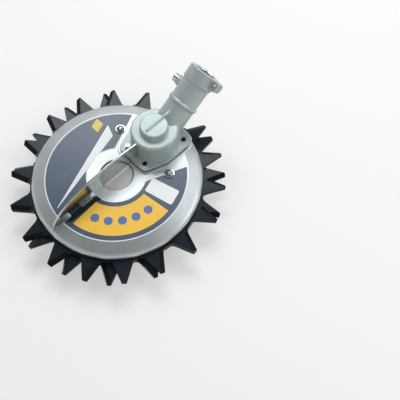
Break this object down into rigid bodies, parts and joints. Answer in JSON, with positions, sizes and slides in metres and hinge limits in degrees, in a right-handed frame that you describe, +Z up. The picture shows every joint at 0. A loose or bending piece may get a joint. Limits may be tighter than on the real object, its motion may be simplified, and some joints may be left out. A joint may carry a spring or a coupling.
{
  "type": "brush cutter weeding head",
  "caption": "Weeding head for a brush cutter: counter-swinging toothed blades under a round cover, with an angled bevel gear case that clamps on the pipe and a glide plate below.",
  "frame": {"origin": "middle of the footprint, on the ground that the glide plate rests on", "axes": "+Z up along the blade axis, +Y from the blade axis towards the pipe socket, +X to the right seen from behind the cutter's user"},
  "size_m": [0.23, 0.2552, 0.1069],
  "materials": {
    "cast_grey": "die-cast, satin grey",
    "brushed_silver": "pressed sheet, satin",
    "hub_alloy": "turned",
    "polished_steel": "polished",
    "zinc_steel": "bright zinc",
    "bearing_steel": "ground",
    "dark_steel": "black oxide",
    "gear_steel": "hardened and oiled",
    "bronze": "turned",
    "black_blade": "black, semi-gloss",
    "gasket_paper": "matt",
    "black_plastic": "gloss moulded"
  },
  "bodies": {
    "housing": {"gear_case": "cast_grey", "locating_screw": "zinc_steel", "clamp_screw": "zinc_steel", "case_gasket": "gasket_paper", "case_screw_1": "dark_steel", "case_screw_2": "dark_steel", "case_screw_3": "dark_steel", "fin_bolt": "zinc_steel", "top_cover": "brushed_silver", "cover_screw_1": "zinc_steel", "cover_screw_2": "zinc_steel", "base_plate": "hub_alloy", "upper_wear_ring": "bearing_steel", "lower_wear_ring": "bearing_steel", "blade_retainer": "bearing_steel", "hub_bolt_1": "dark_steel", "hub_bolt_2": "dark_steel", "hub_bolt_3": "dark_steel", "hub_bolt_4": "dark_steel", "hub_bolt_5": "dark_steel", "crank_top_bearing": "bearing_steel", "crank_lower_bearing": "bearing_steel", "input_front_bearing": "bearing_steel", "input_rear_bearing": "bearing_steel", "bearing_circlip": "bearing_steel", "deflector_fin": "polished_steel"},
    "crank": {"crankshaft": "bearing_steel", "crank_gear": "gear_steel", "upper_roller": "bronze", "lower_roller": "bronze"},
    "input": {"input_shaft": "bearing_steel", "bevel_pinion": "gear_steel"},
    "upper_blade": {"upper_blade": "black_blade"},
    "lower_blade": {"lower_blade": "black_blade"},
    "ground_plate": {"ground_plate": "black_plastic"}
  },
  "joints": [
    {"name": "crank_spin", "type": "hinge", "parent": "housing", "child": "crank", "pos_m": [0, 0.04369, 0.042], "axis": [0, 0, 1], "continuous": true},
    {"name": "input_spin", "type": "hinge", "parent": "housing", "child": "input", "pos_m": [0, 0.04369, 0.042], "axis": [0, 0.8241, 0.5664], "continuous": true},
    {"name": "upper_blade_swing", "type": "hinge", "parent": "housing", "child": "upper_blade", "pos_m": [0, -0.01281, 0.024], "axis": [0, 0, 1], "range_deg": [-4, 4]},
    {"name": "lower_blade_swing", "type": "hinge", "parent": "housing", "child": "lower_blade", "pos_m": [0, -0.01281, 0.024], "axis": [0, 0, 1], "range_deg": [-4, 4]},
    {"name": "ground_plate_twist", "type": "hinge", "parent": "housing", "child": "ground_plate", "pos_m": [0, -0.01281, 0.0142], "axis": [0, 0, 1], "range_deg": [0, 35]}
  ],
  "couplings": [
    {"joint": "input_spin", "follows": "crank_spin", "ratio": -1.4167},
    {"joint": "lower_blade_swing", "follows": "upper_blade_swing", "ratio": -1}
  ]
}
